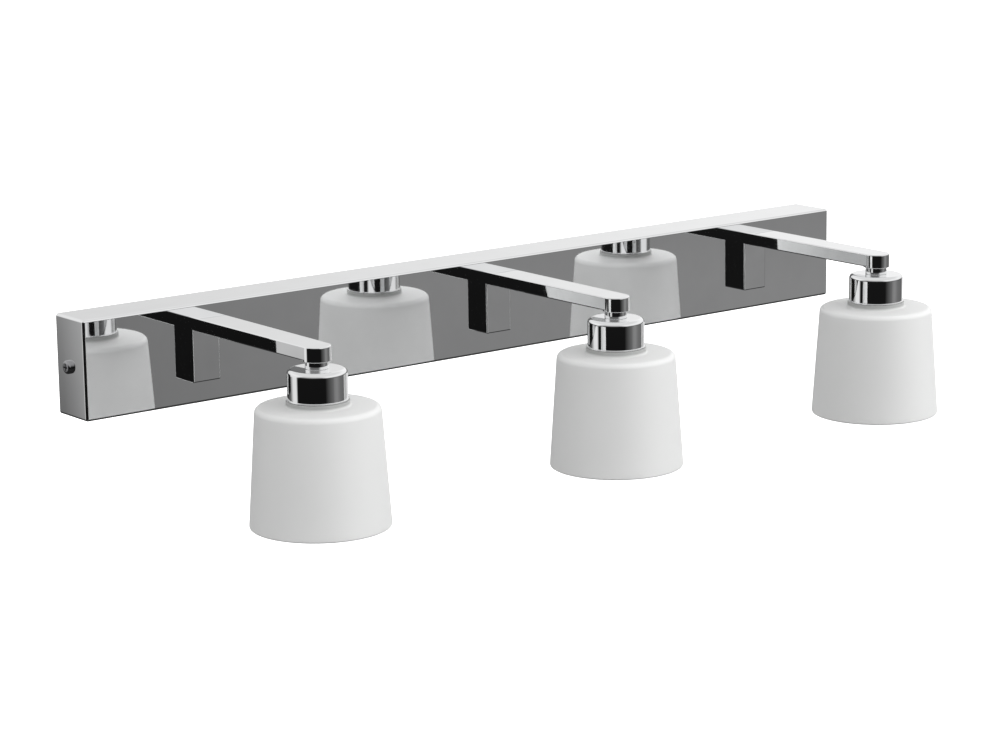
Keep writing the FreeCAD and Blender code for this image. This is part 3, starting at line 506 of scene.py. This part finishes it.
# From below up: (height as the sine of elevation, [(azimuth in degrees from -Y towards +X, brightness), ...])
TENT = [
    (-0.42, [(-180, 0.04), (180, 0.04)]),
    (-0.235, [(-180, 0.03), (-153, 0.12), (-137, 0.75), (-121, 0.80), (-114, 0.006), (-4, 0.006),
              (28, 0.135), (33, 0.20), (44, 0.23), (62, 0.15), (96, 0.12), (110, 0.80), (138, 0.80),
              (146, 0.03), (180, 0.03)]),
    (-0.185, [(-180, 0.05), (-156, 0.18), (-138, 0.85), (-121, 0.85), (-114, 0.008), (-4, 0.008),
              (28, 0.15), (33, 0.22), (44, 0.255), (62, 0.17), (96, 0.13), (110, 0.85), (140, 0.85),
              (150, 0.10), (180, 0.05)]),
    (0.02, [(-180, 0.80), (-121, 0.85), (-108, 0.02), (-12, 0.02), (4, 0.06), (90, 0.06), (112, 0.85),
            (180, 0.80)]),
    (0.14, [(-180, 0.70), (-150, 0.80), (-118, 0.80), (-100, 0.08), (-18, 0.08), (4, 0.80), (132, 1.0),
            (150, 0.70), (180, 0.70)]),
    (0.45, [(-180, 0.85), (-150, 0.95), (-110, 0.95), (-90, 0.55), (-30, 0.55), (0, 0.95), (132, 1.0),
            (150, 0.85), (180, 0.85)]),
    (0.75, [(-180, 0.78), (180, 0.78)]),
]


def studio_world():
    world = bpy.data.worlds.new("studio")
    bpy.context.scene.world = world
    world.use_nodes = True
    tree = world.node_tree
    tree.nodes.clear()
    output = tree.nodes.new("ShaderNodeOutputWorld")
    background = tree.nodes.new("ShaderNodeBackground")
    tree.links.new(background.outputs["Background"], output.inputs["Surface"])
    direction = split_axes(tree, tree.nodes.new("ShaderNodeTexCoord").outputs["Generated"])
    front = calculate(tree, "MULTIPLY", direction["Y"], -1.0)
    angle = calculate(tree, "ARCTAN2", direction["X"], front)
    turn = spread(tree, angle, 0.0, 1.0, -math.pi, math.pi)
    colour = ramp(tree, turn, TENT[0][1])
    for (start, _), (end, stops) in zip(TENT, TENT[1:]):
        level = spread(tree, direction["Z"], 0.0, 1.0, start, end)
        colour = blend_colours(tree, level, colour, ramp(tree, turn, stops))
    tree.links.new(colour, background.inputs["Color"])
    background.inputs["Strength"].default_value = 1.0


studio_world()


# Camera: the photograph's view, from the front left and a little above

CAMERA_AZIMUTH = math.radians(-37.764)
CAMERA_ELEVATION = math.radians(12.308)
CAMERA_ROLL = math.radians(-0.756)
CAMERA_PLACE = Vector((-1.2085, -1.6015, 0.3871))
CAMERA_LENS = 112.86
CAMERA_REACH = 150.0
SENSOR_WIDTH = 36.0


def make_camera():
    data = bpy.data.cameras.new("camera")
    data.sensor_width = SENSOR_WIDTH
    data.lens = CAMERA_LENS
    data.clip_end = CAMERA_REACH
    camera = bpy.data.objects.new("camera", data)
    turn = (Euler((0, 0, CAMERA_AZIMUTH)).to_matrix()
            @ Euler((math.pi / 2 - CAMERA_ELEVATION, 0, 0)).to_matrix()
            @ Euler((0, 0, CAMERA_ROLL)).to_matrix())
    camera.matrix_world = Matrix.Translation(CAMERA_PLACE) @ turn.to_4x4()
    bpy.context.scene.collection.objects.link(camera)
    bpy.context.scene.camera = camera


make_camera()


# Soft lights, which the chrome and the camera don't see: name, place, target, size and power
LIGHTS = [
    ("key", (1.7, -1.5, 0.7), (0, -0.1, 0), (1.6, 1.6), 26.0),
    ("fill", (-0.3, -2.2, -0.1), (0, -0.1, 0), (2.0, 2.0), 11.0),
    ("side", (-1.9, -1.1, 0.0), (0, -0.1, 0), (1.6, 1.6), 10.5),
    ("back", (0.0, 1.6, -0.4), (0, -0.1, -0.05), (1.2, 0.3), 8.0),
]


def area_light(name, place, target, size, power):
    data = bpy.data.lights.new(name, "AREA")
    data.shape = "RECTANGLE"
    data.size, data.size_y = size
    data.energy = power
    light = bpy.data.objects.new(name, data)
    light.location = place
    light.rotation_euler = (Vector(target) - Vector(place)).to_track_quat("-Z", "Y").to_euler()
    light.visible_glossy = False
    light.visible_camera = False
    bpy.context.scene.collection.objects.link(light)


for light_settings in LIGHTS:
    area_light(*light_settings)


# Floor: plain and pale, far below the fitting, which hangs on a wall. Sizes are in metres.

FLOOR_HALF = 60.0
FLOOR_LEVEL = -2.5
FLOOR_COLOUR = (0.93, 0.93, 0.93)
FLOOR_ROUGHNESS = 0.9
FLOOR_GLOW_COLOUR = (1.0, 1.0, 1.0)
FLOOR_GLOW = 0.9


def floor():
    mesh = bpy.data.meshes.new("floor")
    corners = [
        (-FLOOR_HALF, -FLOOR_HALF, FLOOR_LEVEL),
        (FLOOR_HALF, -FLOOR_HALF, FLOOR_LEVEL),
        (FLOOR_HALF, FLOOR_HALF, FLOOR_LEVEL),
        (-FLOOR_HALF, FLOOR_HALF, FLOOR_LEVEL),
    ]
    mesh.from_pydata(corners, [], [(0, 1, 2, 3)])
    ground = bpy.data.objects.new("floor", mesh)
    material, _, shader = new_material("floor")
    shader.inputs["Base Color"].default_value = rgba(FLOOR_COLOUR)
    shader.inputs["Roughness"].default_value = FLOOR_ROUGHNESS
    shader.inputs["Emission Color"].default_value = rgba(FLOOR_GLOW_COLOUR)
    shader.inputs["Emission Strength"].default_value = FLOOR_GLOW
    mesh.materials.append(material)
    ground.visible_glossy = False
    ground.visible_diffuse = False
    bpy.context.scene.collection.objects.link(ground)


floor()
bpy.context.scene.view_settings.view_transform = "Standard"
